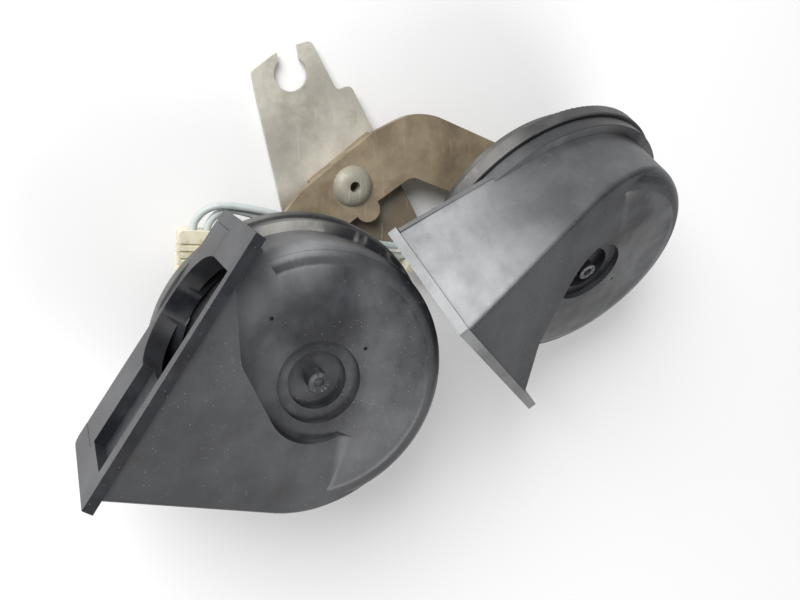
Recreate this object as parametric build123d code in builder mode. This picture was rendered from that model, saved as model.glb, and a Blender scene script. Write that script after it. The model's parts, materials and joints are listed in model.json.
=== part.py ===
from build123d import *
from math import acos, atan2, cos, degrees, hypot, radians, sin, tan
import os

# A pair of electric snail horns, low and high note, on one arched steel strap with a
# hooked fixing plate.  Millimetres, +Z up, as the set lies on a flat surface on its backs.
# Each horn is drawn in its own frame: origin where its axis meets the strap, +z out of
# the front face.  The high horn is the mirror image of the low one.

# Attitude of the strap's front face in the part's frame.
strap_origin = (-38.59, -29.51, 12.81)
strap_rotation = (-1.82, -3.43, -23.2)

# Trumpet, the moulded snail body.
disc_radius = 47.0          # round body
face_height = 55.8          # front face above the strap
face_round = 8.3            # rounded rim of the front face
seam_height = 30.4          # joint between the front and the rear moulding
wall = 2.4                  # moulded wall
mouth_top = (-42.4, 42.5)   # inner end of the mouth, seen from the front
mouth_bottom = (-63.8, -48.2)   # outer end of the mouth
lip_height_top = 74.3       # front edge of the mouth at its two ends
lip_height_bottom = 77.6
ramp_height = 60.0          # sloping front plate where the straight wall leaves the disc
ramp_round = 2.5
ramp_end_angle = -20.0      # where the sloping plate sinks into the disc
shoulder_angle = 131.0      # where the wall above the mouth leaves the disc
mouth_back = 26.5           # rear edge of the mouth
mouth_flange = 3.5          # thickness of the flange round the mouth
flange_overhang = 2.6       # flange beyond the straight wall
flange_corner = 3.0
flare_back = 28.4           # rear edge of the flare's walls
mouth_wall = 7.0            # depth of the wall that closes the mouth round the opening
mouth_split = 47.6          # height of the line between the two mouldings in the mouth
pocket_depth = 4.0          # the front half of the mouth wall sits back by this
pocket_start = 14.0         # along the mouth, from its inner end
pocket_end_low = 83.4
pocket_end_high = 73.4
opening_start = 14.3        # sound opening, along the mouth
opening_end = 55.0
opening_low = 29.6
opening_high = 71.0
opening_round_back = 19.5
opening_round_front = 5.0
relief_depth = 0.8          # groove under the lip of the sloping plate
relief_drop = 3.6
joint_gap = 0.15            # play between mouldings that fit into each other
slot_start = 4.6            # the rear moulding fills the mouth between these places
slot_end = 85.7

# Valley, the inner edge of the sloping plate.
valley_radius = 20.3
valley_start_angle = -134.0
valley_end_angle = -50.0
valley_knee = (-32.0, 2.6)
valley_knee_round = 14.0
valley_top = (-42.7, 25.9)

# Dished centre of the front face.
dish_radius = 14.5
dish_step_radius = 10.2
dish_step_depth = 2.4
dish_depth = 5.2
nub_radius = 3.6
nub_dimple = 0.8
pin_radius = 0.7
pin_depth = 1.4
pin_places = [(-23.1, 16.2), (11.6, 15.3)]

# Spiral duct inside the trumpet.
throat_radius = 6.0
rib_width = 2.0
rib_start_radius = 9.0
rib_pitch = 18.5            # gain in radius for one turn
rib_start_angle = 150.0
rib_sweep = 330.0
rib_points = 12

# Rear moulding's ring and the driver that is crimped on it.
ring_radius = 50.7
ring_back = 22.2
ring_inner = 42.0
sheet = 1.2                 # can's steel
crimp_clearance = 0.25
crimp_reach = 1.5           # crimped lip in the groove round the ring
crimp_edge = 1.4            # ring's back edge, behind the groove
pot_radius = 27.0
pot_taper = 1.0
pot_depth = 11.0
shoulder_radius = 43.0
shoulder_taper = 1.5
gasket_thickness = 0.8
diaphragm_thickness = 0.5
armature_radius = 13.0
armature_thickness = 5.0
armature_screw = 3.0
armature_nut_radius = 5.5
armature_nut_height = 3.0
pole_gap = 1.0
pole_radius = 9.0
stud_radius = 4.0
stud_clearance = 0.2
bobbin_radius = 24.4
bobbin_height = 8.8
bobbin_wall = 1.1
coil_radius = 22.6
contact_angle = -60.0       # contact set, seen along the axis
contact_base_size = (13.0, 9.0, 1.2)
contact_strip = (28.0, 5.0, 0.4)
contact_space = 0.5         # base to the can's wall
contact_step = 5.0          # raised end of the base that carries the spring
contact_button_height = 0.75
contact_button_place = 32.0
contact_button_radius = 1.8
adjuster_radius = 2.2
adjuster_head_radius = 3.6
adjuster_head_height = 3.0
fit_play = 0.1

# Terminals and plugs.
block_size = (14.0, 14.0, 6.6)
blade_size = (9.0, 4.8, 0.8)
blade_root = 5.0            # blade inside its block
blade_pitch = 7.0
plug_size = (16.5, 15.5, 9.4)
plug_corner = 1.2
plug_groove = 0.8           # depth of the grip grooves round the plug
plug_grooves = 4
plug_groove_width = 1.1
plug_groove_start = 3.0
plug_groove_pitch = 2.6
terminal_height = 6.0       # blades above the strap
low_terminal = (-37.0, 8.5, 106.0)     # x, y and pointing angle on the can
high_terminal = (-35.7, 13.0, 221.0)

# Strap and hook plate, in the strap's plane with the low horn's axis at the origin.
strap_thickness = 3.0
strap_end_radius = 12.6
strap_edge = [(-12.6, 0.0), (-14.1, 46.0), (-11.0, 55.8), (8.2, 87.2), (23.0, 102.6)]
strap_inner_edge = [(50.4, 77.0), (30.0, 77.0), (19.0, 61.8), (8.6, 46.0), (12.6, 0.0)]
strap_high_radius = 13.2
strap_arch_round = 24.0
strap_crook_round = 5.0
ear_centre = (17.3, 58.6)
ear_radius = 5.0
bend_point = (65.6, 89.8)
bend_direction = 40.1
bend_angle = 34.1
high_stud = (76.1, 89.1)    # in the flat strap, before it is bent
high_turn = -128.7
lip_from = (-8.0, 60.7)     # folded lip that bears on the hook plate
lip_to = (8.0, 86.9)
lip_width = 2.4
plate_gap = 4.0             # strap to hook plate, held by the spacer
plate_thickness = 2.5
plate_outline = [
    (-37.5, 83.8), (-12.0, 45.3), (-7.5, 38.6), (22.0, 37.0), (44.0, 60.8), (-4.6, 101.0),
    (-8.8, 97.0), (-13.4, 100.6), (-25.0, 110.2), (-33.4, 103.4), (-36.6, 99.4), (-42.0, 91.0),
]
plate_corner = 2.2
hook_centre = (-27.9, 95.9)
hook_radius = 6.5
hook_gap = 8.4
hook_direction = 119.0
rivet_place = (8.0, 65.0)
rivet_head_radius = 8.0
rivet_head_height = 3.0
rivet_radius = 4.0
rivet_hole = 2.1
rivet_hole_depth = 8.0
rivet_tail_radius = 6.2     # tail, set in a countersink flush with the plate's back
rivet_tail_height = 1.6
spacer_radius = 8.0

# Fixing nuts.
washer_radius = 6.3
washer_height = 1.6
nut_across = 13.0
nut_height = 6.5
stud_end = 1.5              # stud beyond its nut

# Leads between the two plugs; the places are in the strap's frame.
lead_radius = 1.35
lead_pitch = 5.0
lead_socket = 3.8           # lead inside its plug
lead_play = 0.35
lead_run_in = 5.0           # straight before the high horn's plug
lead_a_places = [
    (-46.5, 32.4, 6.2), (-44.8, 38.0, 7.1), (-40.3, 41.9, 8.3), (-33.0, 43.8, 9.4),
    (-24.0, 45.2, 10.0), (-12.0, 46.0, 9.6), (0.0, 46.3, 8.4), (12.0, 46.5, 6.4),
    (25.0, 47.2, 3.2),
]
lead_b_places = [
    (-41.5, 33.2, 5.9), (-39.9, 38.3, 6.1), (-35.7, 41.5, 6.6), (-29.5, 42.3, 7.3),
    (-20.0, 42.7, 8.0), (-8.0, 42.9, 7.8), (4.0, 43.1, 6.6), (16.0, 43.4, 4.6),
    (27.0, 43.9, 1.4),
]


def spot(plane, x, y, z=0.0):
    """The place of a point that is given in a plane's own frame."""
    return plane.from_local_coords(Vector(x, y, z))


def turned_plane(plane, x, y, angle, z=0.0):
    """A plane parallel to another one, at a place on it, with x along an angle."""
    along = spot(plane, cos(radians(angle)), sin(radians(angle))) - plane.origin
    return Plane(spot(plane, x, y, z), x_dir=along, z_dir=plane.z_dir)


def upright(plane):
    """The plane through a plane's z axis, for profiles that are turned about it."""
    return Plane(plane.origin, x_dir=plane.x_dir, z_dir=plane.y_dir * -1)


def axis_of(plane):
    return Axis(plane.origin, plane.z_dir)


def polar(radius, angle):
    return (radius * cos(radians(angle)), radius * sin(radians(angle)))


def save(piece, name, place=Plane.XY):
    """Carry a finished piece to its place and write it; the high horn is mirrored."""
    shape = piece.part
    if name.startswith("high_"):
        shape = mirror(shape, about=Plane.YZ)
    shape = place.location * shape
    shape.label = name
    export_step(shape, f"parts/{name}.step")


# Mouth line, from the inner end to the outer one, seen from the front.
mouth_length = hypot(mouth_bottom[0] - mouth_top[0], mouth_bottom[1] - mouth_top[1])
mouth_run = (
    (mouth_bottom[0] - mouth_top[0]) / mouth_length,
    (mouth_bottom[1] - mouth_top[1]) / mouth_length,
)


def mouth_point(along, inward):
    """A point of the front view, from its place along the mouth and its depth."""
    x = mouth_top[0] + along * mouth_run[0] - inward * mouth_run[1]
    y = mouth_top[1] + along * mouth_run[1] + inward * mouth_run[0]
    return (x, y)


def mouth_plane(face):
    """The plane of the mouth: x along it, y up the horn's axis."""
    start = spot(face, mouth_top[0], mouth_top[1])
    run = spot(face, mouth_run[0], mouth_run[1]) - face.origin
    outward = spot(face, mouth_run[1], -mouth_run[0]) - face.origin
    return Plane(start, x_dir=run, z_dir=outward)


def ramp_plane(face):
    """The plane of the sloping front plate."""
    low = spot(face, mouth_bottom[0], mouth_bottom[1], lip_height_bottom)
    top = spot(face, mouth_top[0], mouth_top[1], lip_height_top)
    foot = spot(face, 0, -disc_radius, ramp_height)
    normal = (top - low).cross(foot - low)
    if normal.dot(face.z_dir) < 0:
        normal = normal * -1
    return Plane(low, x_dir=top - low, z_dir=normal)


wall_end = mouth_length - flange_overhang
wall_end_point = mouth_point(wall_end, 0)
wall_end_distance = hypot(*wall_end_point)
tangent_angle = degrees(
    atan2(wall_end_point[1], wall_end_point[0]) + acos(disc_radius / wall_end_distance)
)
tangent_point = polar(disc_radius, tangent_angle)


def flare_outline():
    """Front view of the body: the round disc and the flare that leads to the mouth."""
    with BuildSketch() as outline:
        Circle(disc_radius)
        with BuildLine():
            Polyline(
                (0, 0),
                polar(disc_radius, shoulder_angle),
                mouth_point(0, 0),
                mouth_point(wall_end, 0),
                tangent_point,
                close=True,
            )
        make_face()
    return outline.sketch


def ramp_outline():
    """Front view of the sloping plate, from the rim and the mouth in to the valley."""
    with BuildSketch() as outline:
        knee_start = polar(valley_radius, valley_start_angle)
        with BuildLine():
            CenterArc((0, 0), disc_radius, ramp_end_angle, tangent_angle - ramp_end_angle)
            Polyline(
                tangent_point,
                mouth_point(wall_end, 0),
                mouth_point(0, 0),
                mouth_point(0, mouth_flange),
                valley_top,
            )
            FilletPolyline(
                valley_top, valley_knee, knee_start,
                radius=valley_knee_round,
            )
            CenterArc(
                (0, 0), valley_radius, valley_start_angle,
                valley_end_angle - valley_start_angle,
            )
            Line(
                polar(valley_radius, valley_end_angle),
                polar(disc_radius, ramp_end_angle),
            )
        make_face()
    return outline.sketch


def mouth_strip(start, end, depth):
    """Front view of a strip that lies along the mouth."""
    with BuildSketch() as outline:
        with BuildLine():
            Polyline(
                mouth_point(start, 0), mouth_point(end, 0),
                mouth_point(end, depth), mouth_point(start, depth), close=True,
            )
        make_face()
    return outline.sketch


def rib_outline():
    """Front view of the spiral wall between the turns of the duct."""
    with BuildSketch() as outline:
        edges = []
        for side in (-rib_width / 2, rib_width / 2):
            points = []
            for i in range(rib_points + 1):
                turn = rib_sweep * i / rib_points
                radius = rib_start_radius + rib_pitch * turn / 360 + side
                points.append(polar(radius, rib_start_angle - turn))
            points.append(mouth_point(opening_start + side, mouth_wall - wall / 2))
            edges.append(points)
        with BuildLine():
            Spline(*edges[0])
            Spline(*edges[1])
            Line(edges[0][0], edges[1][0])
            Line(edges[0][-1], edges[1][-1])
        make_face()
    return outline.sketch


def opening_outline():
    """The sound opening, on the mouth plane."""
    with BuildSketch() as outline:
        with BuildLine():
            Polyline(
                (opening_start, opening_low), (opening_end, opening_low),
                (opening_end, opening_high), (opening_start, opening_high),
                close=True,
            )
        make_face()
        fillet(vertices().group_by(Axis.Y)[0], opening_round_back)
        fillet(vertices().group_by(Axis.Y)[-1], opening_round_front)
    return outline.sketch


def front_hollow(face):
    """The space inside the front moulding."""
    tall = 2 * face_height
    with BuildPart() as hollow:
        with BuildSketch(face.offset(flare_back)):
            add(ramp_outline())
            offset(amount=-wall, kind=Kind.INTERSECTION, mode=Mode.REPLACE)
        extrude(amount=tall)
        split(bisect_by=ramp_plane(face).offset(-wall), keep=Keep.BOTTOM)
        with BuildSketch(face.offset(flare_back)):
            add(flare_outline())
            offset(amount=-wall, kind=Kind.INTERSECTION, mode=Mode.REPLACE)
        extrude(amount=face_height - wall - flare_back)
        with BuildSketch(upright(face)):
            inner = disc_radius - wall
            with BuildLine():
                Polyline(
                    (0, face_height - wall), (0, flare_back), (inner, flare_back),
                    (inner, face_height - face_round),
                )
                ThreePointArc(
                    (inner, face_height - face_round),
                    (
                        inner - (face_round - wall) * (1 - sin(radians(45))),
                        face_height - face_round + (face_round - wall) * sin(radians(45)),
                    ),
                    (disc_radius - face_round, face_height - wall),
                )
                Line((disc_radius - face_round, face_height - wall), (0, face_height - wall))
            make_face()
        revolve(axis=axis_of(face))
        with BuildSketch(face.offset(flare_back)):
            add(mouth_strip(0, mouth_length, mouth_wall))
        extrude(amount=tall, mode=Mode.SUBTRACT)
        with BuildSketch(face.offset(face_height - dish_depth - wall)):
            Circle(dish_radius + wall)
        extrude(amount=face_height, mode=Mode.SUBTRACT)
        with BuildSketch(face.offset(mouth_split)):
            add(rib_outline())
        extrude(amount=tall, mode=Mode.SUBTRACT)
    return hollow


def ramp_block(face):
    """The wedge under the sloping plate, its rim rounded."""
    plate = ramp_plane(face)
    side = polar(1, tangent_angle)
    with BuildPart() as block:
        with BuildSketch(face.offset(flare_back)):
            add(ramp_outline())
        extrude(amount=2 * face_height)
        split(bisect_by=plate, keep=Keep.BOTTOM)
        rim = []
        for edge in edges():
            middle = face.to_local_coords(edge @ 0.5)
            on_plate = abs(plate.to_local_coords(edge @ 0.5).Z) < 0.01
            on_disc = abs(hypot(middle.X, middle.Y) - disc_radius) < 0.01
            on_wall = abs(middle.X * side[0] + middle.Y * side[1] - disc_radius) < 0.01
            if on_plate and (on_disc or on_wall):
                rim.append(edge)
        fillet(rim, ramp_round)
    return block


def relief_block(face):
    """The sliver taken off the straight wall, under the lip of the sloping plate."""
    with BuildPart() as block:
        with BuildSketch(face.offset(flare_back)):
            with BuildLine():
                Polyline(
                    tangent_point, mouth_point(wall_end, 0),
                    mouth_point(wall_end - relief_depth, 0), close=True,
                )
            make_face()
        extrude(amount=2 * face_height)
        split(bisect_by=ramp_plane(face).offset(-relief_drop), keep=Keep.BOTTOM)
    return block


def make_front_shell(place, pocket_end, name):
    face = Plane.XY
    mouth = mouth_plane(face)
    hollow = front_hollow(face)
    ramp = ramp_block(face)
    relief = relief_block(face)
    with BuildPart() as front_shell:
        with BuildSketch(face.offset(flare_back)):
            add(flare_outline())
        extrude(amount=face_height - face_round - flare_back)
        with BuildSketch(face.offset(face_height - face_round)):
            with BuildLine():
                Polyline(
                    (0, 0), polar(disc_radius - face_round, shoulder_angle),
                    mouth_point(0, 0), mouth_point(wall_end, 0),
                    tangent_point, close=True,
                )
            make_face()
        extrude(amount=face_round)
        with BuildSketch(upright(face)):
            with BuildLine():
                Polyline(
                    (0, face_height), (0, seam_height), (disc_radius, seam_height),
                    (disc_radius, face_height - face_round),
                )
                RadiusArc(
                    (disc_radius, face_height - face_round),
                    (disc_radius - face_round, face_height), -face_round,
                )
                Line((disc_radius - face_round, face_height), (0, face_height))
            make_face()
        revolve(axis=axis_of(face))
        add(ramp.part)
        add(relief.part, mode=Mode.SUBTRACT)
        with BuildSketch(mouth):
            with BuildLine():
                Polyline(
                    (0, mouth_back), (mouth_length, mouth_back),
                    (mouth_length, lip_height_bottom), (0, lip_height_top),
                    close=True,
                )
            make_face()
            fillet(vertices().group_by(Axis.Y)[0], flange_corner)
        extrude(amount=-mouth_flange)
        add(hollow.part, mode=Mode.SUBTRACT)
        with BuildSketch(mouth):
            with BuildLine():
                Polyline(
                    (pocket_start, mouth_split), (pocket_end, mouth_split),
                    (pocket_end, opening_high), (pocket_start, opening_high),
                    close=True,
                )
            make_face()
        extrude(amount=-pocket_depth, mode=Mode.SUBTRACT)
        with BuildSketch(mouth):
            add(opening_outline())
        extrude(amount=-mouth_wall - wall, mode=Mode.SUBTRACT)
        with BuildSketch(mouth):
            with BuildLine():
                Polyline(
                    (slot_start, 0), (slot_end, 0),
                    (slot_end, mouth_split), (slot_start, mouth_split),
                    close=True,
                )
            make_face()
        extrude(amount=-mouth_wall - joint_gap, mode=Mode.SUBTRACT)
        with BuildSketch(face):
            Circle(ring_radius + joint_gap)
        extrude(amount=seam_height, mode=Mode.SUBTRACT)
        with BuildSketch(face.offset(face_height)):
            Circle(dish_radius)
            Circle(nub_radius, mode=Mode.SUBTRACT)
        extrude(amount=-dish_step_depth, mode=Mode.SUBTRACT)
        with BuildSketch(face.offset(face_height - dish_step_depth)):
            Circle(dish_step_radius)
            Circle(nub_radius, mode=Mode.SUBTRACT)
        extrude(amount=dish_step_depth - dish_depth, mode=Mode.SUBTRACT)
        with BuildSketch(face.offset(face_height)):
            Circle(nub_radius / 2)
        extrude(amount=-nub_dimple, mode=Mode.SUBTRACT)
        with BuildSketch(face.offset(face_height)):
            with Locations(*pin_places):
                Circle(pin_radius)
        extrude(amount=-pin_depth, mode=Mode.SUBTRACT)
    save(front_shell, name + "front_shell", place)


def make_rear_shell(place, name):
    face = Plane.XY
    mouth = mouth_plane(face)
    with BuildPart() as rear_shell:
        with BuildSketch(face.offset(mouth_back)):
            add(flare_outline())
            add(mouth_strip(-wall, mouth_length, mouth_flange + joint_gap))
        extrude(amount=flare_back - mouth_back)
        with BuildSketch(mouth):
            with BuildLine():
                Polyline(
                    (-wall, 0), (mouth_length, 0),
                    (mouth_length, mouth_split), (-wall, mouth_split),
                    close=True,
                )
            make_face()
        extrude(amount=-mouth_flange - joint_gap, mode=Mode.SUBTRACT)
        with BuildSketch(mouth):
            with BuildLine():
                Polyline(
                    ((slot_start + joint_gap), mouth_back),
                    ((slot_end - joint_gap), mouth_back),
                    ((slot_end - joint_gap), mouth_split - joint_gap),
                    ((slot_start + joint_gap), mouth_split - joint_gap),
                    close=True,
                )
            make_face()
        extrude(amount=-mouth_wall)
        with BuildSketch(face.offset(flare_back - wall)):
            Circle(ring_radius - crimp_reach - crimp_clearance)
        extrude(amount=wall)
        with BuildSketch(face.offset(flare_back)):
            add(rib_outline())
        extrude(amount=mouth_split - flare_back - joint_gap)
        with BuildSketch(face.offset(mouth_back)):
            Circle(ring_radius)
            Circle(ring_inner, mode=Mode.SUBTRACT)
        extrude(amount=seam_height - mouth_back, mode=Mode.SUBTRACT)
        with BuildSketch(upright(face)):
            groove_radius = ring_radius - crimp_reach - crimp_clearance
            groove_back = ring_back + crimp_edge
            groove_front = groove_back + sheet + 2 * crimp_clearance
            with BuildLine():
                Polyline(
                    (ring_inner, ring_back), (ring_radius, ring_back),
                    (ring_radius, groove_back), (groove_radius, groove_back),
                    (groove_radius, groove_front), (ring_radius, groove_front),
                    (ring_radius, seam_height), (ring_inner, seam_height), close=True,
                )
            make_face()
        revolve(axis=axis_of(face))
        with BuildSketch(mouth):
            add(opening_outline())
        extrude(amount=-mouth_wall - wall, mode=Mode.SUBTRACT)
        with BuildSketch(face):
            Circle(throat_radius)
        extrude(amount=face_height, mode=Mode.SUBTRACT)
    save(rear_shell, name + "rear_shell", place)


def make_can(place, name):
    """Pressed driver cup, its rim crimped into the groove round the ring."""
    face = Plane.XY
    rim = ring_radius + crimp_clearance
    flange_back = ring_back - gasket_thickness - diaphragm_thickness - sheet
    lip_front = ring_back + crimp_edge + crimp_clearance + sheet
    with BuildPart() as can:
        with BuildSketch(upright(face)):
            with BuildLine():
                Polyline(
                    (0, 0), (pot_radius, 0), (pot_radius + pot_taper, pot_depth),
                    (shoulder_radius, pot_depth),
                    (shoulder_radius + shoulder_taper, flange_back),
                    (rim + sheet, flange_back), (rim + sheet, lip_front),
                    (rim - crimp_reach, lip_front), (rim - crimp_reach, lip_front - sheet),
                    (rim, lip_front - sheet), (rim, flange_back + sheet),
                    (shoulder_radius + shoulder_taper - sheet, flange_back + sheet),
                    (shoulder_radius - sheet, pot_depth + sheet),
                    (pot_radius + pot_taper - sheet, pot_depth + sheet),
                    (pot_radius - sheet, sheet), (0, sheet), close=True,
                )
            make_face()
        revolve(axis=axis_of(face))
        corners = edges().filter_by(GeomType.CIRCLE)
        outer = corners.filter_by(lambda edge: abs(edge.radius - rim - sheet) < 0.01)
        fillet(outer, sheet / 2)
        pot_edge = corners.filter_by(lambda edge: abs(edge.radius - pot_radius) < 0.01)
        fillet(pot_edge, 2 * sheet)
        with BuildSketch(face):
            Circle(stud_radius + stud_clearance)
        extrude(amount=sheet, mode=Mode.SUBTRACT)
        with BuildSketch(contact_plane(face)):
            with Locations((contact_button_place, 0)):
                Circle(adjuster_radius + fit_play)
        extrude(amount=shoulder_radius, mode=Mode.SUBTRACT)
    save(can, name + "can", place)


def contact_plane(face):
    """The plane of the strap with x running out along the contact set."""
    return turned_plane(face, 0, 0, contact_angle)


def make_driver(place, name):
    """The diaphragm with its armature, the magnet and the breaker contacts."""
    face = Plane.XY
    diaphragm_back = ring_back - gasket_thickness - diaphragm_thickness
    diaphragm_front = ring_back - gasket_thickness
    armature_back = diaphragm_back - armature_thickness
    stud_length = strap_thickness + washer_height + nut_height + stud_end
    with BuildPart() as gasket:
        with BuildSketch(face.offset(diaphragm_front)):
            Circle(ring_radius - fit_play)
            Circle(ring_inner, mode=Mode.SUBTRACT)
        extrude(amount=gasket_thickness)
    save(gasket, name + "gasket", place)

    with BuildPart() as diaphragm:
        with BuildSketch(face.offset(diaphragm_back)):
            Circle(ring_radius - fit_play)
            Circle(armature_screw + fit_play, mode=Mode.SUBTRACT)
        extrude(amount=diaphragm_thickness)
    save(diaphragm, name + "diaphragm", place)

    with BuildPart() as armature:
        with BuildSketch(face.offset(armature_back)):
            Circle(armature_radius)
        extrude(amount=armature_thickness)
        with BuildSketch(face.offset(diaphragm_back)):
            Circle(armature_screw)
        extrude(amount=diaphragm_thickness + armature_nut_height + fit_play)
    save(armature, name + "armature", place)

    with BuildPart() as armature_nut:
        with BuildSketch(face.offset(diaphragm_front)):
            RegularPolygon(armature_nut_radius, 6)
            Circle(armature_screw + fit_play, mode=Mode.SUBTRACT)
        extrude(amount=armature_nut_height)
    save(armature_nut, name + "armature_nut", place)

    with BuildPart() as pole_core:
        with BuildSketch(face.offset(sheet)):
            Circle(pole_radius)
        extrude(amount=armature_back - pole_gap - sheet)
        with BuildSketch(face.offset(-stud_length)):
            Circle(stud_radius)
        extrude(amount=stud_length + sheet)
        ends = edges().filter_by(lambda edge: face.to_local_coords(edge.center()).Z < 0.01 - stud_length)
        chamfer(ends, stud_end / 2)
    save(pole_core, name + "pole_core", place)

    with BuildPart() as bobbin:
        with BuildSketch(face.offset(sheet)):
            Circle(bobbin_radius)
            Circle(pole_radius + fit_play, mode=Mode.SUBTRACT)
        extrude(amount=bobbin_height)
        with BuildSketch(face.offset(sheet + bobbin_wall)):
            Circle(bobbin_radius)
            Circle(pole_radius + fit_play + bobbin_wall, mode=Mode.SUBTRACT)
        extrude(amount=bobbin_height - 2 * bobbin_wall, mode=Mode.SUBTRACT)
    save(bobbin, name + "bobbin", place)

    with BuildPart() as coil:
        with BuildSketch(face.offset(sheet + bobbin_wall)):
            Circle(coil_radius)
            Circle(pole_radius + fit_play + bobbin_wall, mode=Mode.SUBTRACT)
        extrude(amount=bobbin_height - 2 * bobbin_wall)
    save(coil, name + "coil", place)


def make_contacts(place, name):
    """Breaker contacts on the can's shoulder, and the screw that sets them."""
    face = Plane.XY
    plane = contact_plane(face)
    base_back = pot_depth + sheet
    base_front = base_back + contact_base_size[2]
    strip = contact_strip[2]
    spring_back = base_front + strip + 2 * contact_button_height
    base_end = shoulder_radius - sheet - contact_space
    base_start = base_end - contact_base_size[0]
    with BuildPart() as contact_base:
        with BuildSketch(plane.offset(base_back)):
            with Locations((base_start + contact_base_size[0] / 2, 0)):
                Rectangle(contact_base_size[0], contact_base_size[1])
            with Locations((contact_button_place, 0)):
                Circle(adjuster_radius + fit_play, mode=Mode.SUBTRACT)
        extrude(amount=contact_base_size[2])
        with BuildSketch(plane.offset(base_front)):
            with Locations((base_end - contact_step / 2, 0)):
                Rectangle(contact_step, contact_base_size[1])
        extrude(amount=spring_back - base_front)
    save(contact_base, name + "contact_base", place)

    fixed_length = base_end - contact_step - base_start
    with BuildPart() as fixed_contact:
        with BuildSketch(plane.offset(base_front)):
            with Locations((base_start + fixed_length / 2, 0)):
                Rectangle(fixed_length, contact_strip[1])
        extrude(amount=strip)
        with BuildSketch(plane.offset(base_front + strip)):
            with Locations((contact_button_place, 0)):
                Circle(contact_button_radius)
        extrude(amount=contact_button_height)
    save(fixed_contact, name + "fixed_contact", place)

    with BuildPart() as contact_spring:
        with BuildSketch(plane.offset(spring_back)):
            with Locations((base_end - contact_strip[0] / 2, 0)):
                Rectangle(contact_strip[0], contact_strip[1])
        extrude(amount=strip)
        with BuildSketch(plane.offset(spring_back)):
            with Locations((contact_button_place, 0)):
                Circle(contact_button_radius)
        extrude(amount=-contact_button_height)
    save(contact_spring, name + "contact_spring", place)

    with BuildPart() as adjusting_screw:
        with BuildSketch(plane.offset(pot_depth - adjuster_head_height)):
            with Locations((contact_button_place, 0)):
                RegularPolygon(adjuster_head_radius, 6)
        extrude(amount=adjuster_head_height)
        with BuildSketch(plane.offset(pot_depth)):
            with Locations((contact_button_place, 0)):
                Circle(adjuster_radius)
        extrude(amount=base_front - pot_depth)
    save(adjusting_screw, name + "adjusting_screw", place)


def terminal_plane(face, terminal):
    """The plane of the blades, x along them, from the block's outer face."""
    x, y, angle = terminal
    middle = turned_plane(face, x, y, angle, z=terminal_height)
    return turned_plane(middle, block_size[0] / 2, 0, 0)


def lead_end(terminal, side, depth):
    """The place of a lead in its plug, at a depth from the plug's outer end."""
    return spot(terminal, plug_size[0] - depth, side * lead_pitch / 2)


def make_terminals(place, terminal, name):
    """The moulded block with its blades, and the plug of the leads on them."""
    length, width, height = block_size
    block_back = pot_depth - terminal_height - height
    with BuildPart() as terminals:
        with BuildSketch(terminal.offset(-blade_size[2] / 2)):
            with Locations((0, -blade_pitch / 2), (0, blade_pitch / 2)):
                with Locations(((blade_size[0] - blade_root) / 2, 0)):
                    Rectangle(blade_size[0] + blade_root, blade_size[1])
        extrude(amount=blade_size[2])
    save(terminals, name + "terminals", place)

    with BuildPart() as terminal_block:
        with BuildSketch(terminal.offset(block_back)):
            with Locations((-length / 2, 0)):
                Rectangle(length, width)
        extrude(amount=height)
        add(terminals.part, mode=Mode.SUBTRACT)
    save(terminal_block, name + "terminal_block", place)

    with BuildPart() as plug:
        with BuildSketch(terminal.offset(-plug_size[2] / 2)):
            with Locations((plug_size[0] / 2, 0)):
                RectangleRounded(plug_size[0], plug_size[1], plug_corner)
        extrude(amount=plug_size[2])
        groove = Plane(terminal.origin, x_dir=terminal.y_dir, z_dir=terminal.x_dir)
        for i in range(plug_grooves):
            with BuildSketch(groove.offset(plug_groove_start + i * plug_groove_pitch)):
                Rectangle(2 * plug_size[1], 2 * plug_size[2])
                Rectangle(
                    plug_size[1] - 2 * plug_groove, plug_size[2] - 2 * plug_groove,
                    mode=Mode.SUBTRACT,
                )
            extrude(amount=plug_groove_width, mode=Mode.SUBTRACT)
        with BuildSketch(groove):
            with Locations((-blade_pitch / 2, 0), (blade_pitch / 2, 0)):
                Rectangle(blade_size[1] + 2 * fit_play, blade_size[2] + 2 * fit_play)
        extrude(amount=blade_size[0] + fit_play, mode=Mode.SUBTRACT)
        with BuildSketch(groove.offset(plug_size[0] - lead_socket)):
            with Locations((-lead_pitch / 2, 0), (lead_pitch / 2, 0)):
                Circle(lead_radius + lead_play)
        extrude(amount=lead_socket, mode=Mode.SUBTRACT)
    save(plug, name + "plug", place)


def make_fixing(place, name):
    """Washer and nut on the stud, behind the strap."""
    face = Plane.XY
    with BuildPart() as washer:
        with BuildSketch(face.offset(-strap_thickness - washer_height)):
            Circle(washer_radius)
            Circle(stud_radius + stud_clearance, mode=Mode.SUBTRACT)
        extrude(amount=washer_height)
    save(washer, name + "washer", place)

    with BuildPart() as nut:
        with BuildSketch(face.offset(-strap_thickness - washer_height - nut_height)):
            RegularPolygon(nut_across / 2, 6, major_radius=False)
            Circle(stud_radius + fit_play, mode=Mode.SUBTRACT)
        extrude(amount=nut_height)
    save(nut, name + "nut", place)


def strap_outline():
    """The strap laid flat, without its holes."""
    with BuildSketch() as outline:
        high_x, high_y = high_stud
        with BuildLine():
            Polyline(
                *strap_edge, (high_x, high_y + strap_high_radius),
                (high_x, high_y - strap_high_radius), *strap_inner_edge, close=True,
            )
        make_face()
        arch = vertices().sort_by_distance((*strap_edge[-1], 0))[0]
        fillet(arch, strap_arch_round)
        crook = vertices().sort_by_distance((*strap_inner_edge[1], 0))[0]
        fillet(crook, strap_crook_round)
        Circle(strap_end_radius)
        with Locations(high_stud):
            Circle(strap_high_radius)
        with Locations(ear_centre):
            Circle(ear_radius)
        for centre in ((0, 0), high_stud):
            with Locations(centre):
                Circle(stud_radius + stud_clearance, mode=Mode.SUBTRACT)
        with Locations(rivet_place):
            Circle(rivet_radius + fit_play, mode=Mode.SUBTRACT)
    return outline.sketch


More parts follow.
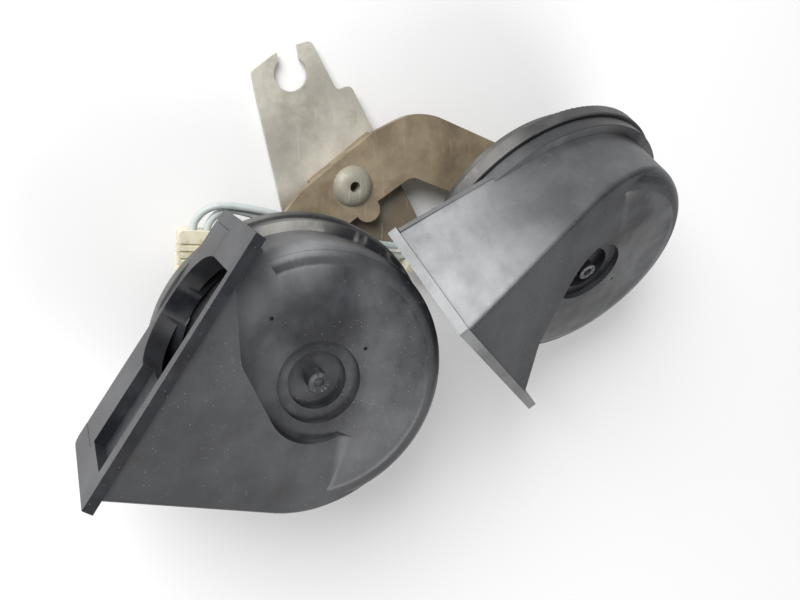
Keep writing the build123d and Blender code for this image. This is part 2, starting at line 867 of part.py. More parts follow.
# Attitude of the strap, of its bent end and of the two horns on it.
attitude = Plane.XY.rotated(strap_rotation)
strap_front = Plane(strap_origin, x_dir=attitude.x_dir, z_dir=attitude.z_dir)
fold = turned_plane(strap_front, *bend_point, bend_direction)
fold_normal = fold.z_dir * cos(radians(bend_angle)) - fold.y_dir * sin(radians(bend_angle))
folded = Plane(fold.origin, x_dir=fold.x_dir, z_dir=fold_normal)
flat_origin = fold.to_local_coords(strap_front.origin)
bent_front = turned_plane(folded, flat_origin.X, flat_origin.Y, -bend_direction)
high_face = turned_plane(bent_front, *high_stud, high_turn)

os.makedirs("parts", exist_ok=True)
for place, pocket_end, terminal_place, name in (
    (strap_front, pocket_end_low, low_terminal, "low_"),
    (high_face, pocket_end_high, high_terminal, "high_"),
):
    make_front_shell(place, pocket_end, name)
    make_rear_shell(place, name)
    make_can(place, name)
    make_driver(place, name)
    make_contacts(place, name)
    make_terminals(place, terminal_plane(Plane.XY, terminal_place), name)
    make_fixing(place, name)

with BuildSketch() as bent_area:
    with Locations(Location((*bend_point, 0), (0, 0, bend_direction))):
        with Locations((0, -strap_high_radius * 2)):
            Rectangle(4 * strap_high_radius, 4 * strap_high_radius)

with BuildPart() as strap:
    with BuildSketch(strap_front):
        add(strap_outline())
        add(bent_area.sketch, mode=Mode.SUBTRACT)
    extrude(amount=-strap_thickness)
    with BuildSketch(bent_front):
        add(strap_outline())
        add(bent_area.sketch, mode=Mode.INTERSECT)
    extrude(amount=-strap_thickness)
    with BuildSketch(strap_front.offset(-strap_thickness)):
        run = Vector(lip_to[0] - lip_from[0], lip_to[1] - lip_from[1])
        side = run.normalized().rotate(Axis.Z, -90) * lip_width
        with BuildLine():
            Polyline(
                lip_from, lip_to, (lip_to[0] + side.X, lip_to[1] + side.Y),
                (lip_from[0] + side.X, lip_from[1] + side.Y), close=True,
            )
        make_face()
    extrude(amount=-plate_gap)
save(strap, "strap")

plate_front = strap_front.offset(-strap_thickness - plate_gap)
rivet_plane = turned_plane(strap_front, *rivet_place, 0)
rivet_back = -strap_thickness - plate_gap - plate_thickness
rivet_neck = rivet_back + rivet_tail_height
with BuildPart() as hook_plate:
    with BuildSketch(plate_front):
        with BuildLine():
            Polyline(*plate_outline, close=True)
        make_face()
        fillet(vertices(), plate_corner)
        with Locations(hook_centre):
            Circle(hook_radius, mode=Mode.SUBTRACT)
        with Locations(Location((*hook_centre, 0), (0, 0, hook_direction))):
            with Locations((2 * hook_radius, 0)):
                Rectangle(4 * hook_radius, hook_gap, mode=Mode.SUBTRACT)
        with Locations(rivet_place):
            Circle(rivet_radius + fit_play, mode=Mode.SUBTRACT)
    extrude(amount=-plate_thickness)
    with BuildSketch(upright(rivet_plane)):
        with BuildLine():
            Polyline(
                (0, rivet_back), (rivet_tail_radius + fit_play, rivet_back),
                (rivet_radius + fit_play, rivet_neck), (0, rivet_neck), close=True,
            )
        make_face()
    revolve(axis=axis_of(rivet_plane), mode=Mode.SUBTRACT)
save(hook_plate, "hook_plate")

with BuildPart() as spacer:
    with BuildSketch(plate_front):
        with Locations(rivet_place):
            Circle(spacer_radius)
            Circle(rivet_radius + fit_play, mode=Mode.SUBTRACT)
    extrude(amount=plate_gap)
save(spacer, "spacer")

rivet_hole_end = rivet_head_height - rivet_hole_depth
with BuildPart() as rivet:
    with BuildSketch(upright(rivet_plane)):
        with BuildLine():
            Polyline(
                (rivet_hole, rivet_head_height), (rivet_hole, rivet_hole_end),
                (0, rivet_hole_end), (0, rivet_back), (rivet_tail_radius, rivet_back),
                (rivet_radius, rivet_neck), (rivet_radius, 0), (rivet_head_radius, 0),
            )
            ThreePointArc(
                (rivet_head_radius, 0), (0.8 * rivet_head_radius, 0.6 * rivet_head_height),
                (rivet_hole, rivet_head_height),
            )
        make_face()
    revolve(axis=axis_of(rivet_plane))
save(rivet, "rivet")

low_exit = terminal_plane(strap_front, low_terminal)
high_x, high_y, high_angle = high_terminal
high_exit = terminal_plane(high_face, (-high_x, high_y, 180 - high_angle))
for name, low_side, high_side, places in (
    ("lead_a", 1, -1, lead_a_places), ("lead_b", -1, 1, lead_b_places),
):
    route = [lead_end(low_exit, low_side, lead_socket - lead_play)]
    route += [spot(strap_front, *place) for place in places]
    route += [lead_end(high_exit, high_side, -lead_run_in)]
    route += [lead_end(high_exit, high_side, lead_socket - lead_play)]
    radii = []
    for before, corner, after in zip(route, route[1:], route[2:]):
        turn = (corner - before).get_angle(after - corner)
        run = min((corner - before).length, (after - corner).length)
        radii.append(0.45 * run / tan(radians(turn / 2)))
    print(name, [round(radius, 1) for radius in radii])
    with BuildPart() as lead:
        with BuildLine() as centre_line:
            FilletPolyline(*route, radius=radii)
        with BuildSketch(Plane(centre_line.line @ 0, z_dir=centre_line.line % 0)):
            Circle(lead_radius)
        sweep()
    save(lead, name)
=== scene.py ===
import bpy
import json
from mathutils import Matrix, Vector


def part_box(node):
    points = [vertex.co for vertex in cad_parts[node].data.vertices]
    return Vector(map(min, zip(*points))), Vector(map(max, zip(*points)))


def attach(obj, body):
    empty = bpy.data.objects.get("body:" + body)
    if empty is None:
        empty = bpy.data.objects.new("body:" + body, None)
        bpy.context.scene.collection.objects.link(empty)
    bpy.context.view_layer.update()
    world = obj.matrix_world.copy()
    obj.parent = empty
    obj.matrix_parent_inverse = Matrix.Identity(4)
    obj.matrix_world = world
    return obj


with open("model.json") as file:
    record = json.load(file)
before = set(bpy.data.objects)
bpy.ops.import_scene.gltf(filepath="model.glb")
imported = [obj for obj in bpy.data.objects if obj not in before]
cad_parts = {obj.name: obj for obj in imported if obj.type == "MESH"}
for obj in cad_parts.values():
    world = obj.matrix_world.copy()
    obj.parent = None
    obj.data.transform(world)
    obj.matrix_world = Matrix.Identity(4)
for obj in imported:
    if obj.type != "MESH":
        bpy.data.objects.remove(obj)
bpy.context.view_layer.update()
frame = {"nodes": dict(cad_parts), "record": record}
scene = bpy.context.scene
nodes = frame["nodes"]
print("frame loaded:", len(nodes), "nodes")

# camera, set first so that everything is judged from it
view = {
    "place": (-0.13171, 0.08119, 0.31753),
    "right": (0.90139, 0.00007, 0.43301),
    "up": (0.12607, 0.95663, -0.26260),
    "back": (-0.41425, 0.29129, 0.86229),
    "lens": 38.30, "sensor": 36.0,  # millimetres
    "nearest": 0.01, "farthest": 20.0,
}
cameraData = bpy.data.cameras.new("camera")
camera = bpy.data.objects.new("camera", cameraData)
scene.collection.objects.link(camera)
turn = Matrix((view["right"], view["up"], view["back"])).transposed()
camera.matrix_world = Matrix.Translation(view["place"]) @ turn.to_4x4()
cameraData.lens = view["lens"]
cameraData.sensor_width = view["sensor"]
cameraData.clip_start = view["nearest"]
cameraData.clip_end = view["farthest"]
scene.camera = camera
print("camera set")


# shader maths: a socket that takes part in Python expressions
class Signal:
    def __init__(self, maker, socket):
        self.maker = maker
        self.socket = socket

    def math(self, operation, *others):
        return self.maker.add("ShaderNodeMath", {"operation": operation}, self, *others)

    def __add__(self, other):
        return self.math("ADD", other)

    def __radd__(self, other):
        return self.math("ADD", other)

    def __sub__(self, other):
        return self.math("SUBTRACT", other)

    def __rsub__(self, other):
        return self.maker.add("ShaderNodeMath", {"operation": "SUBTRACT"}, other, self)

    def __mul__(self, other):
        return self.math("MULTIPLY", other)

    def __rmul__(self, other):
        return self.math("MULTIPLY", other)

    def held(self):
        # kept from 0 to 1
        return self.maker.add("ShaderNodeClamp", {}, self)

    def between(self, low, high):
        # 0 below low, 1 above high, smooth in between; falls where low is the larger
        settings = {"interpolation_type": "SMOOTHSTEP"}
        return self.maker.add("ShaderNodeMapRange", settings, self, low, high, 0.0, 1.0)


# one material and its shader, with the few nodes that the finishes share
class Finish:
    def __init__(self, name):
        self.material = bpy.data.materials.new(name)
        self.material.use_nodes = True
        self.tree = self.material.node_tree
        self.shader = self.tree.nodes["Principled BSDF"]
        self.place = self.add("ShaderNodeTexCoord", {}, output="Object")
        self.normal = self.add("ShaderNodeNewGeometry", {}, output="Normal")

    def add(self, kind, settings, *values, output=0, named=None):
        node = self.tree.nodes.new(kind)
        for key, value in settings.items():
            setattr(node, key, value)
        for index, value in enumerate(values):
            self.feed(node.inputs[index], value)
        for key, value in (named or {}).items():
            self.feed(node.inputs[key], value)
        return Signal(self, node.outputs[output])

    def feed(self, socket, value):
        if isinstance(value, Signal):
            self.tree.links.new(value.socket, socket)
        elif isinstance(value, tuple) and socket.type == "RGBA":
            socket.default_value = (*value, 1.0)
        else:
            socket.default_value = value

    def noise(self, scale, detail, roughness, place=None):
        return self.add(
            "ShaderNodeTexNoise", {}, output="Fac",
            named={
                "Vector": place or self.place, "Scale": scale, "Detail": detail,
                "Roughness": roughness,
            },
        )

    def stretched(self, scale):
        # place squeezed along its axes, for streaks and scratches
        return self.add(
            "ShaderNodeVectorMath", {"operation": "MULTIPLY"}, self.place, scale
        )

    def along(self, vector, direction):
        settings = {"operation": "DOT_PRODUCT"}
        return self.add("ShaderNodeVectorMath", settings, vector, tuple(direction), output=1)

    def blend(self, factor, first, second):
        # 0, 6 and 7 are the Mix node's colour sockets, which share their names with others
        return self.add(
            "ShaderNodeMix", {"data_type": "RGBA"}, output=2,
            named={0: factor, 6: first, 7: second},
        )

    def bump(self, height, strength, distance):
        return self.add(
            "ShaderNodeBump", {}, output="Normal",
            named={"Strength": strength, "Distance": distance, "Height": height},
        )

    def give(self, **sockets):
        for key, value in sockets.items():
            self.feed(self.shader.inputs[key.replace("_", " ")], value)
        return self.material


def dress(material, *names):
    for name in names:
        mesh = nodes[name].data
        mesh.materials.clear()
        mesh.materials.append(material)


def middle(name):
    low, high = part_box(name)
    return (low + high) / 2


# moulded and stamped edges are a little round; the curved faces keep their smoothness
edgeRounds = {"front_shell": 0.0006, "rear_shell": 0.0004, "plug": 0.0003}  # metres
edge = {"sheet": 0.0003, "segments": 2, "sharperThan": 0.7, "weld": 0.00001}


def soften(name, width):
    weld = nodes[name].modifiers.new("weld", "WELD")
    weld.merge_threshold = edge["weld"]
    bevel = nodes[name].modifiers.new("bevel", "BEVEL")
    bevel.width = width
    bevel.segments = edge["segments"]
    bevel.limit_method = "ANGLE"
    bevel.angle_limit = edge["sharperThan"]
    nodes[name].modifiers.new("normals", "WEIGHTED_NORMAL")


for side in ("low_", "high_"):
    for piece, width in edgeRounds.items():
        soften(side + piece, width)
for name in ("strap", "hook_plate"):
    soften(name, edge["sheet"])
print("edges softened")

windowWay = (-0.55, 0.75, 0.36)  # the side that dust and light come from


def hornPlace(side):
    # axis, way out of the mouth and how far out it lies, and way to the window-side rim,
    # where dust and a painted sheen lie
    centre = middle(side + "_diaphragm")
    axis = (centre - middle(side + "_washer")).normalized()
    openings = frame["record"]["physics"]["openings"]
    low, high = next(o["box_m"] for o in openings if o["name"] == side + "_mouth")
    outward = (Vector(low) + Vector(high)) / 2 - centre
    outward = (outward - axis * outward.dot(axis)).normalized()
    ends = [corner.co.dot(outward) for corner in nodes[side + "_front_shell"].data.vertices]
    window = Vector(windowWay)
    rimward = (window - axis * window.dot(axis)).normalized()
    return {
        "axis": axis, "outward": outward, "reach": max(ends), "rimward": rimward,
        "middle": centre.dot(rimward),
    }


def mouldedPlastic(name, look, horn):
    # black moulding: dust on the sloping plate, wiped and glossier on the disc face; dust and
    # painted light on the walls that face the window lamp, dust and a painted sheen towards
    # the window-side rim, and painted shade at the low horn's mouth
    f = Finish(name)
    flow = f.noise(look["cloudScale"], detail=5.0, roughness=0.6)
    fine = f.noise(look["fineScale"], detail=6.0, roughness=0.7)
    streaky, smeared = f.stretched(look["streakWay"]), f.stretched(look["wipeWay"])
    streak = f.noise(look["streakScale"], detail=4.0, roughness=0.6, place=streaky)
    facing = f.along(f.normal, horn["axis"])
    disc = facing.between(*look["discFacing"])
    plate = facing.between(*look["plateFacing"]) * (1.0 - disc)
    inward = f.along(f.place, horn["outward"]) - horn["reach"]
    nearMouth = inward.between(*look["mouthDustAndLight"])
    # painted shade: dust is left off near the low horn's mouth, so it stays dark like the
    # shade in the mouth
    outsideMouthShade = 1.0 - inward.between(*look["mouthShadeReach"]) * look["mouthShade"]
    # faces toward the window lamp; the dust laid on them also stands in for the light they
    # get, so it is partly painted light
    litDustySide = f.along(f.normal, windowWay).between(0.25, 0.9)
    # dust and a painted sheen, growing towards the rim on the window side; the sheen stands
    # for the window's reflection
    rimDustAndSheen = (f.along(f.place, horn["rimward"]) - horn["middle"]).between(*look["rimDustAndSheenReach"])
    wiped = f.noise(look["wipeScale"], detail=5.0, roughness=0.62, place=smeared)
    smear = wiped.between(0.44, 0.64) * look["discDust"] + rimDustAndSheen * look["rimDustAndSheenShare"]
    film = (flow * 0.9 + streak * 0.7 - 0.45).held()
    # dust and painted light on the walls toward the lamp, more of it near the mouth
    wall = litDustySide * (1.0 - plate) * (nearMouth * 0.85 + 0.15) * look["wallDustAndLight"]
    # painted shade on the faces that look out of the mouth
    outsideMouthShade *= 1.0 - f.along(f.normal, horn["outward"]).between(0.4, 0.8) * look["mouthShade"]
    loose = (wall * (film + 0.25) + disc * smear * (streak + 0.4)) * outsideMouthShade
    settled = loose + plate * (film + wiped * 0.4) * look["plateDust"]
    specks = fine.between(0.58, 0.78) * look["speckle"] * (plate + disc * 0.5 + litDustySide)
    # this dust mask holds real dust together with the painted light of the lamp-side walls
    # and the painted rim sheen
    dust = (settled + specks).held()
    blot = f.noise(look["grimeScale"], detail=4.0, roughness=0.6)
    grime = blot.between(0.52, 0.72) * look["grimeShare"]
    worn = f.blend(flow.between(0.35, 0.7), look["dark"], look["pale"])
    base = f.blend(disc * flow.between(0.62, 0.38), worn, look["bareDisc"])
    colour = f.blend(dust, f.blend(grime, base, look["grime"]), look["dustColour"])
    rough = (look["rough"] + plate * 0.18 - disc * 0.10 + dust * 0.45 + streak * 0.12).held()
    pores = f.noise(look["grainScale"], detail=2.0, roughness=0.5)
    grain = fine * 0.35 + pores * 0.4 + streak * 0.25
    sink = f.noise(look["sinkScale"], detail=2.0, roughness=0.5) * disc
    relief = grain * look["grainShare"] + sink * look["sinkShare"]
    return f.give(
        Coat_Roughness=look["coatRough"], Base_Color=colour, Roughness=rough, IOR=look["ior"],
        Coat_Weight=disc * look["discCoat"] * (1.0 - dust),
        Normal=f.bump(relief, look["relief"], look["reliefDepth"]),
    )


# trumpets; the scales are noise scales, so larger is finer
trumpet = {
    "cloudScale": 30.0, "fineScale": 420.0, "streakScale": 90.0, "wipeScale": 34.0,
    "grimeScale": 48.0, "grainScale": 2600.0, "sinkScale": 42.0,
    "streakWay": (1.0, 0.2, 0.5), "wipeWay": (1.0, 0.55, 0.8),
    "discFacing": (0.972, 0.995), "plateFacing": (0.80, 0.93),  # cosines to the horn's axis
    "mouthDustAndLight": (-0.055, -0.004), "mouthShadeReach": (-0.030, -0.016),  # metres from the mouth
    # the rim amounts lay dust together with a painted sheen of the window's reflection
    "rimDustAndSheenReach": (0.024, 0.047),  # metres from the horn's middle, to the window side
    # the wall amount lays dust and painted light together on the walls toward the lamp
    "plateDust": 0.09, "wallDustAndLight": 1.15, "discDust": 0.08, "rimDustAndSheenShare": 0.50,
    # the mouth amount is painted shade, dust left off at the mouth
    "mouthShade": 0.0, "speckle": 0.11, "grimeShare": 0.6,
    "dark": (0.014, 0.015, 0.018), "pale": (0.044, 0.046, 0.052),
    "grime": (0.010, 0.009, 0.009), "dustColour": (0.46, 0.47, 0.475),
    "bareDisc": (0.008, 0.009, 0.013), "rough": 0.34, "ior": 1.5,
    "discCoat": 0.5, "coatRough": 0.2, "grainShare": 0.2, "sinkShare": 2.5,
    "relief": 0.35, "reliefDepth": 0.0012,
}
# the low horn's mouth gets the painted shade
lowTrumpet = dict(trumpet, mouthShade=1.0)
highTrumpet = dict(trumpet, discDust=0.16)
# low rear shell: more dust, more painted light on the lamp-side walls and more painted sheen
# at the rim
dustedAndLit = dict(
    lowTrumpet, discDust=1.6, rimDustAndSheenShare=0.95, wallDustAndLight=1.3, dustColour=(0.52, 0.51, 0.47)
)
trumpets = {
    "low": (lowTrumpet, dustedAndLit),
    "high": (highTrumpet, dict(trumpet, discDust=0.25, wallDustAndLight=0.5)),
}
for side, (front, rear) in trumpets.items():
    horn = hornPlace(side)
    dress(mouldedPlastic(side + "Front", front, horn), side + "_front_shell")
    dress(mouldedPlastic(side + "Rear", rear, horn), side + "_rear_shell")
    dress(mouldedPlastic(side + "Block", trumpet, horn), side + "_terminal_block")
print("plastic done")


rivetPlace = middle("rivet")
plateWay = (rivetPlace - middle("hook_plate")).normalized()


def sheetSteel(name, look):
    # plated sheet with brown soil, rubbed edges and scratches; the hook plate also gets a
    # painted shadow of the strap past the rivet
    f = Finish(name)
    # painted shadow: the sheet is darkened past the rivet, where the strap shades the hook
    # plate
    beyond = f.along(f.place, plateWay) - rivetPlace.dot(plateWay)
    strapShadeMask = beyond.between(*look["strapShadeFade"])
    cloud = f.noise(look["cloudScale"], detail=6.0, roughness=0.62)
    blotch = f.noise(look["blotchScale"], detail=4.0, roughness=0.6).between(0.5, 0.66)
    fine = f.noise(look["fineScale"], detail=5.0, roughness=0.7)
    drawn = f.stretched(look["scratchWay"])
    lines = f.noise(look["scratchScale"], detail=3.0, roughness=0.5, place=drawn)
    scratch = lines.between(0.62, 0.70)
    spots = f.noise(look["rustScale"], detail=5.0, roughness=0.65)
    rust = spots.between(0.60, 0.74) * look["rust"]
    plain = f.blend(cloud.between(0.35, 0.68), look["dark"], look["pale"])
    base = f.blend(strapShadeMask * look["strapShade"], plain, look["strapShadeColour"])
    soiled = f.blend(blotch * look["soil"], base, look["soilColour"])
    rusty = f.blend(rust, soiled, look["rustColour"])
    colour = f.blend(scratch * look["scratch"], rusty, look["bare"])
    rough = (look["rough"] + blotch * 0.3 + fine * 0.2 + rust * 0.2 - scratch * 0.12).held()
    metal = (look["metal"] * (1.0 - blotch * 0.6 * look["soil"]) - rust * 0.4).held()
    relief = fine * 0.5 + cloud * 0.3 - scratch * 0.1
    return f.give(
        Base_Color=colour, Roughness=rough, Metallic=metal,
        Normal=f.bump(relief, look["relief"], look["reliefDepth"]),
    )


# strap, hook plate, rivet and the zinc-plated nuts
strapLook = {
    "cloudScale": 42.0, "blotchScale": 60.0, "fineScale": 700.0, "rustScale": 95.0,
    "scratchScale": 520.0, "scratchWay": (1.0, 0.12, 0.5),
    "dark": (0.185, 0.145, 0.092), "pale": (0.34, 0.275, 0.185),
    "soil": 0.5, "soilColour": (0.12, 0.092, 0.058),
    # the strap shade is a painted shadow of the strap, used on the hook plate only
    "strapShade": 0.0, "strapShadeColour": (0.20, 0.155, 0.10),
    "strapShadeFade": (-0.010, 0.006),  # metres past the rivet
    "rust": 0.5, "rustColour": (0.16, 0.085, 0.04), "scratch": 0.25,
    "bare": (0.40, 0.35, 0.27), "metal": 0.1, "rough": 0.38,
    "relief": 0.3, "reliefDepth": 0.0002,
}
plateLook = dict(
    strapLook, cloudScale=34.0, blotchScale=46.0, dark=(0.39, 0.365, 0.315),
    pale=(0.62, 0.59, 0.51), soilColour=(0.24, 0.22, 0.18),
    # painted strap shadow on the hook plate
    strapShade=0.9, strapShadeColour=(0.155, 0.12, 0.08), rust=0.35,
    rustColour=(0.20, 0.13, 0.08), scratch=0.3, bare=(0.60, 0.58, 0.52), metal=0.12,
)
rivetLook = dict(
    plateLook, dark=(0.22, 0.21, 0.165), pale=(0.35, 0.335, 0.27), soil=0.4, rust=0.15,
    strapShade=0.0,
)
zincLook = dict(
    plateLook, dark=(0.30, 0.29, 0.26), pale=(0.50, 0.49, 0.46), metal=0.75, strapShade=0.0
)
dress(sheetSteel("strapSteel", strapLook), "strap")
dress(sheetSteel("plateSteel", plateLook), "hook_plate")
dress(sheetSteel("rivetSteel", rivetLook), "rivet", "spacer")
zincSteel = sheetSteel("zincSteel", zincLook)
for side in ("low_", "high_"):
    dress(zincSteel, side + "nut", side + "washer", side + "adjusting_screw")
print("steel done")


def blackCan(name, look):
    # black-coated pressing, rubbed to bright steel at the crimped rim, with dust and painted
    # light on the faces toward the window lamp
    f = Finish(name)
    cloud = f.noise(look["cloudScale"], detail=5.0, roughness=0.6)
    fine = f.noise(look["fineScale"], detail=5.0, roughness=0.7)
    rubbed = f.noise(look["wearScale"], detail=5.0, roughness=0.65) + fine * 0.25
    worn = rubbed.between(look["wear"], look["wear"] + look["wearFade"])
    litDustySide = f.along(f.normal, windowWay).between(0.1, 0.9)
    # dust and painted light: lighter on the faces toward the window lamp
    dust = (cloud * 0.9 - 0.25).held() * litDustySide * look["dust"]
    paint = f.blend(cloud.between(0.35, 0.7), look["dark"], look["pale"])
    bare = f.blend(worn, paint, look["bare"])
    colour = f.blend(dust, bare, look["dustColour"])
    return f.give(
        Base_Color=colour, Metallic=(worn * 0.8 * (1.0 - dust)).held(),
        Roughness=(look["rough"] + dust * 0.35 + fine * 0.15 - worn * 0.08).held(),
        Normal=f.bump(fine + worn * 0.5, look["relief"], look["reliefDepth"]),
    )


canLook = {
    "cloudScale": 30.0, "fineScale": 600.0, "wearScale": 70.0,
    # the dust amount lays dust and painted light on the lamp side
    "wear": 0.76, "wearFade": 0.12, "dust": 0.7,
    "dark": (0.022, 0.022, 0.023), "pale": (0.055, 0.055, 0.056),
    "bare": (0.20, 0.195, 0.18), "dustColour": (0.44, 0.43, 0.40),
    "rough": 0.42, "relief": 0.25, "reliefDepth": 0.0002,
}
dress(blackCan("canSteel", canLook), "low_can", "high_can")


def plainMetal(name, look):
    # turned, drawn or wound metal of the insides, a little dull in places
    f = Finish(name)
    cloud = f.noise(look["cloudScale"], detail=4.0, roughness=0.6)
    lathe = f.stretched(look["turnedWay"])
    turned = f.noise(look["turnedScale"], detail=3.0, roughness=0.5, place=lathe)
    return f.give(
        Base_Color=f.blend(cloud.between(0.45, 0.75) * 0.6, look["colour"], look["soil"]),
        Metallic=(look["metal"] - cloud.between(0.6, 0.8) * 0.2).held(),
        Roughness=(look["rough"] + cloud * 0.15).held(),
        Normal=f.bump(turned, look["relief"], look["reliefDepth"]),
    )


bareLook = {
    "cloudScale": 90.0, "turnedScale": 500.0, "turnedWay": (0.1, 0.1, 1.0),
    "colour": (0.42, 0.42, 0.42), "soil": (0.25, 0.23, 0.20), "metal": 0.95, "rough": 0.3,
    "relief": 0.15, "reliefDepth": 0.0001,
}
springLook = dict(bareLook, colour=(0.50, 0.50, 0.51), soil=(0.33, 0.30, 0.25), rough=0.22)
contactLook = dict(bareLook, colour=(0.72, 0.53, 0.25), soil=(0.42, 0.30, 0.14), rough=0.28)
copperLook = dict(
    bareLook, colour=(0.60, 0.26, 0.12), soil=(0.35, 0.14, 0.06), metal=0.9, rough=0.32
)
bareSteel = plainMetal("bareSteel", bareLook)
springSteel = plainMetal("springSteel", springLook)
contactMetal = plainMetal("contactMetal", contactLook)
copperWire = plainMetal("copperWire", copperLook)
for side in ("low_", "high_"):
    dress(bareSteel, side + "armature", side + "armature_nut", side + "pole_core")
    dress(springSteel, side + "diaphragm")
    dress(contactMetal, side + "fixed_contact", side + "contact_spring", side + "terminals")
    dress(copperWire, side + "coil")
print("metal done")


def softPlastic(name, look):
    # pale moulding or cable cover with hand and road dirt
    f = Finish(name)
    cloud = f.noise(look["cloudScale"], detail=5.0, roughness=0.6)
    dirt = (cloud.between(0.48, 0.72) * look["dirt"]).held()
    fine = f.noise(look["fineScale"], detail=3.0, roughness=0.6)
    return f.give(
        Base_Color=f.blend(dirt, look["colour"], look["dirtColour"]),
        Roughness=(look["rough"] + dirt * 0.25 + fine * 0.08).held(),
        Normal=f.bump(fine, look["relief"], look["reliefDepth"]),
    )


plugLook = {
    "cloudScale": 130.0, "fineScale": 900.0, "dirt": 0.5, "colour": (0.78, 0.73, 0.56),
    "dirtColour": (0.26, 0.21, 0.13), "rough": 0.38, "relief": 0.2, "reliefDepth": 0.0001,
}
leadLook = dict(
    plugLook, cloudScale=90.0, dirt=0.6, colour=(0.46, 0.51, 0.50), rough=0.42,
    dirtColour=(0.10, 0.105, 0.095),
)
bobbinLook = dict(plugLook, colour=(0.56, 0.52, 0.42), dirt=0.3)
sealLook = dict(leadLook, colour=(0.02, 0.02, 0.02), rough=0.7)
dress(softPlastic("plugPlastic", plugLook), "low_plug", "high_plug")
dress(softPlastic("leadCover", leadLook), "lead_a", "lead_b")
bobbinPlastic = softPlastic("bobbinPlastic", bobbinLook)
sealRubber = softPlastic("sealRubber", sealLook)
for side in ("low_", "high_"):
    dress(bobbinPlastic, side + "bobbin", side + "contact_base")
    dress(sealRubber, side + "gasket")
print("finishes done")

# dry dirt that has settled on the upward faces, scattered over each trumpet
grit = {
    "density": 240000.0,  # crumbs in a square metre where they lie thickest
    "smallest": 0.00004, "largest": 0.00016,  # radius in metres
    "seeds": {"low": 4, "high": 9},
    "upward": (0.45, 0.98),  # how far up a face looks, from none to all of them
    "patchScale": 55.0, "patchy": (0.48, 0.72),
    "turn": (6.283, 6.283, 6.283),
    "dark": (0.20, 0.19, 0.17), "pale": (0.42, 0.41, 0.38), "cloudScale": 300.0, "rough": 0.9,
}


def link(tree, start, end):
    tree.links.new(start, end)


def gritTree(material):
    tree = bpy.data.node_groups.new("gritTree", "GeometryNodeTree")
    face = tree.interface
    face.new_socket("Geometry", in_out="INPUT", socket_type="NodeSocketGeometry")
    for name in ("Density", "Smallest", "Largest"):
        face.new_socket(name, in_out="INPUT", socket_type="NodeSocketFloat")
    face.new_socket("Seed", in_out="INPUT", socket_type="NodeSocketInt")
    face.new_socket("Geometry", in_out="OUTPUT", socket_type="NodeSocketGeometry")
    make = tree.nodes.new

    def narrow(node, limits):
        # a Map Range node's sockets 1 and 2 take the range that it spreads over 0 to 1
        node.inputs[1].default_value, node.inputs[2].default_value = limits

    entry, leave = make("NodeGroupInput"), make("NodeGroupOutput")
    spread = make("GeometryNodeDistributePointsOnFaces")
    normal, axes = make("GeometryNodeInputNormal"), make("ShaderNodeSeparateXYZ")
    upward = make("ShaderNodeMapRange")
    patch = make("ShaderNodeTexNoise")
    patch.inputs["Scale"].default_value = grit["patchScale"]
    patchy = make("ShaderNodeMapRange")
    narrow(upward, grit["upward"])
    narrow(patchy, grit["patchy"])
    share, amount = make("ShaderNodeMath"), make("ShaderNodeMath")
    share.operation = amount.operation = "MULTIPLY"
    crumb, place = make("GeometryNodeMeshIcoSphere"), make("GeometryNodeInstanceOnPoints")
    crumb.inputs["Subdivisions"].default_value = 1
    crumb.inputs["Radius"].default_value = 1.0
    size, spin = make("FunctionNodeRandomValue"), make("FunctionNodeRandomValue")
    spin.data_type = "FLOAT_VECTOR"
    spin.inputs[1].default_value = grit["turn"]
    real, paint = make("GeometryNodeRealizeInstances"), make("GeometryNodeSetMaterial")
    paint.inputs["Material"].default_value = material
    link(tree, entry.outputs["Geometry"], spread.inputs["Mesh"])
    link(tree, normal.outputs[0], axes.inputs[0])
    link(tree, axes.outputs[2], upward.inputs[0])
    link(tree, patch.outputs["Fac"], patchy.inputs[0])
    link(tree, upward.outputs[0], share.inputs[0])
    link(tree, patchy.outputs[0], share.inputs[1])
    link(tree, share.outputs[0], amount.inputs[0])
    link(tree, entry.outputs["Density"], amount.inputs[1])
    link(tree, amount.outputs[0], spread.inputs["Density"])
    link(tree, entry.outputs["Seed"], spread.inputs["Seed"])
    link(tree, spread.outputs["Points"], place.inputs["Points"])
    link(tree, crumb.outputs["Mesh"], place.inputs["Instance"])
    link(tree, spin.outputs[0], place.inputs["Rotation"])
    link(tree, entry.outputs["Smallest"], size.inputs[2])
    link(tree, entry.outputs["Largest"], size.inputs[3])
    link(tree, size.outputs[1], place.inputs["Scale"])
    link(tree, place.outputs["Instances"], real.inputs[0])
    link(tree, real.outputs[0], paint.inputs["Geometry"])
    link(tree, paint.outputs["Geometry"], leave.inputs[0])
    return tree


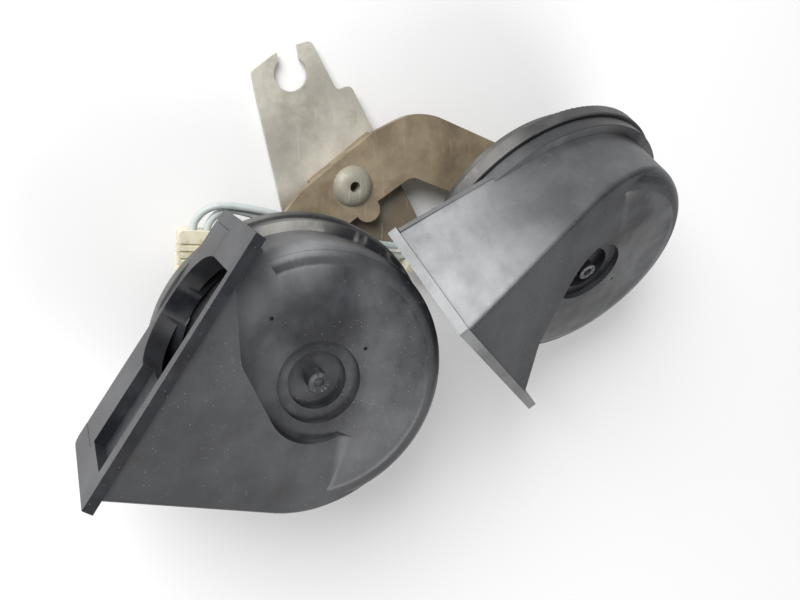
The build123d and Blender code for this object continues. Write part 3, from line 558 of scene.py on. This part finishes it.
def scatterGrit(name, carrier, tree, seed):
    # the crumbs are made on a copy of the carrier's mesh, which then goes
    source = bpy.data.objects.new(name + "Source", nodes[carrier].data.copy())
    scene.collection.objects.link(source)
    modifier = source.modifiers.new("grit", "NODES")
    modifier.node_group = tree
    values = {
        "Density": grit["density"], "Smallest": grit["smallest"],
        "Largest": grit["largest"], "Seed": seed,
    }
    for item in tree.interface.items_tree:
        if item.in_out == "INPUT" and item.name in values:
            modifier[item.identifier] = values[item.name]
    bpy.context.view_layer.update()
    ready = source.evaluated_get(bpy.context.evaluated_depsgraph_get())
    mesh = bpy.data.meshes.new_from_object(ready)
    bpy.data.objects.remove(source)
    piece = bpy.data.objects.new(name, mesh)
    scene.collection.objects.link(piece)
    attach(piece, "root")
    print(name, len(mesh.polygons), "faces")


def gritDust():
    f = Finish("gritDust")
    cloud = f.noise(grit["cloudScale"], detail=2.0, roughness=0.5)
    return f.give(
        Base_Color=f.blend(cloud, grit["dark"], grit["pale"]), Roughness=grit["rough"]
    )


crumbs = gritTree(gritDust())
for side, seed in grit["seeds"].items():
    scatterGrit(side + "Grit", side + "_front_shell", crumbs, seed)

# pale floor
floor = {"size": 6.0, "colour": (0.90, 0.90, 0.90), "rough": 0.8}
bpy.ops.mesh.primitive_plane_add(size=floor["size"], location=(0.0, 0.0, 0.0))
floorPlane = bpy.context.object
floorPlane.name = "floor"
floorFinish = Finish("floorPaper")
floorPlane.data.materials.append(
    floorFinish.give(Base_Color=floor["colour"], Roughness=floor["rough"])
)
print("floor laid")

# soft light all round
sky = {"colour": (1.0, 1.0, 1.0, 1.0), "level": 0.30}
world = bpy.data.worlds.new("studio")
scene.world = world
world.use_nodes = True
background = world.node_tree.nodes["Background"]
background.inputs["Color"].default_value = sky["colour"]
background.inputs["Strength"].default_value = sky["level"]

# the window lamp is the main light, and the fill lamp is across from it
lamps = [
    {"name": "windowLamp", "place": (-0.62, 0.76, 0.72), "size": 0.8, "power": 18.5},
    {"name": "fillLamp", "place": (0.35, -0.85, 0.75), "size": 1.0, "power": 6.5},
]
for lamp in lamps:
    light = bpy.data.lights.new(lamp["name"], "AREA")
    light.shape = "DISK"
    light.size = lamp["size"]
    light.energy = lamp["power"]
    holder = bpy.data.objects.new(lamp["name"], light)
    scene.collection.objects.link(holder)
    holder.location = lamp["place"]
    holder.rotation_euler = Vector(lamp["place"]).to_track_quat("Z", "Y").to_euler()
scene.view_settings.view_transform = "Standard"
print("studio done")
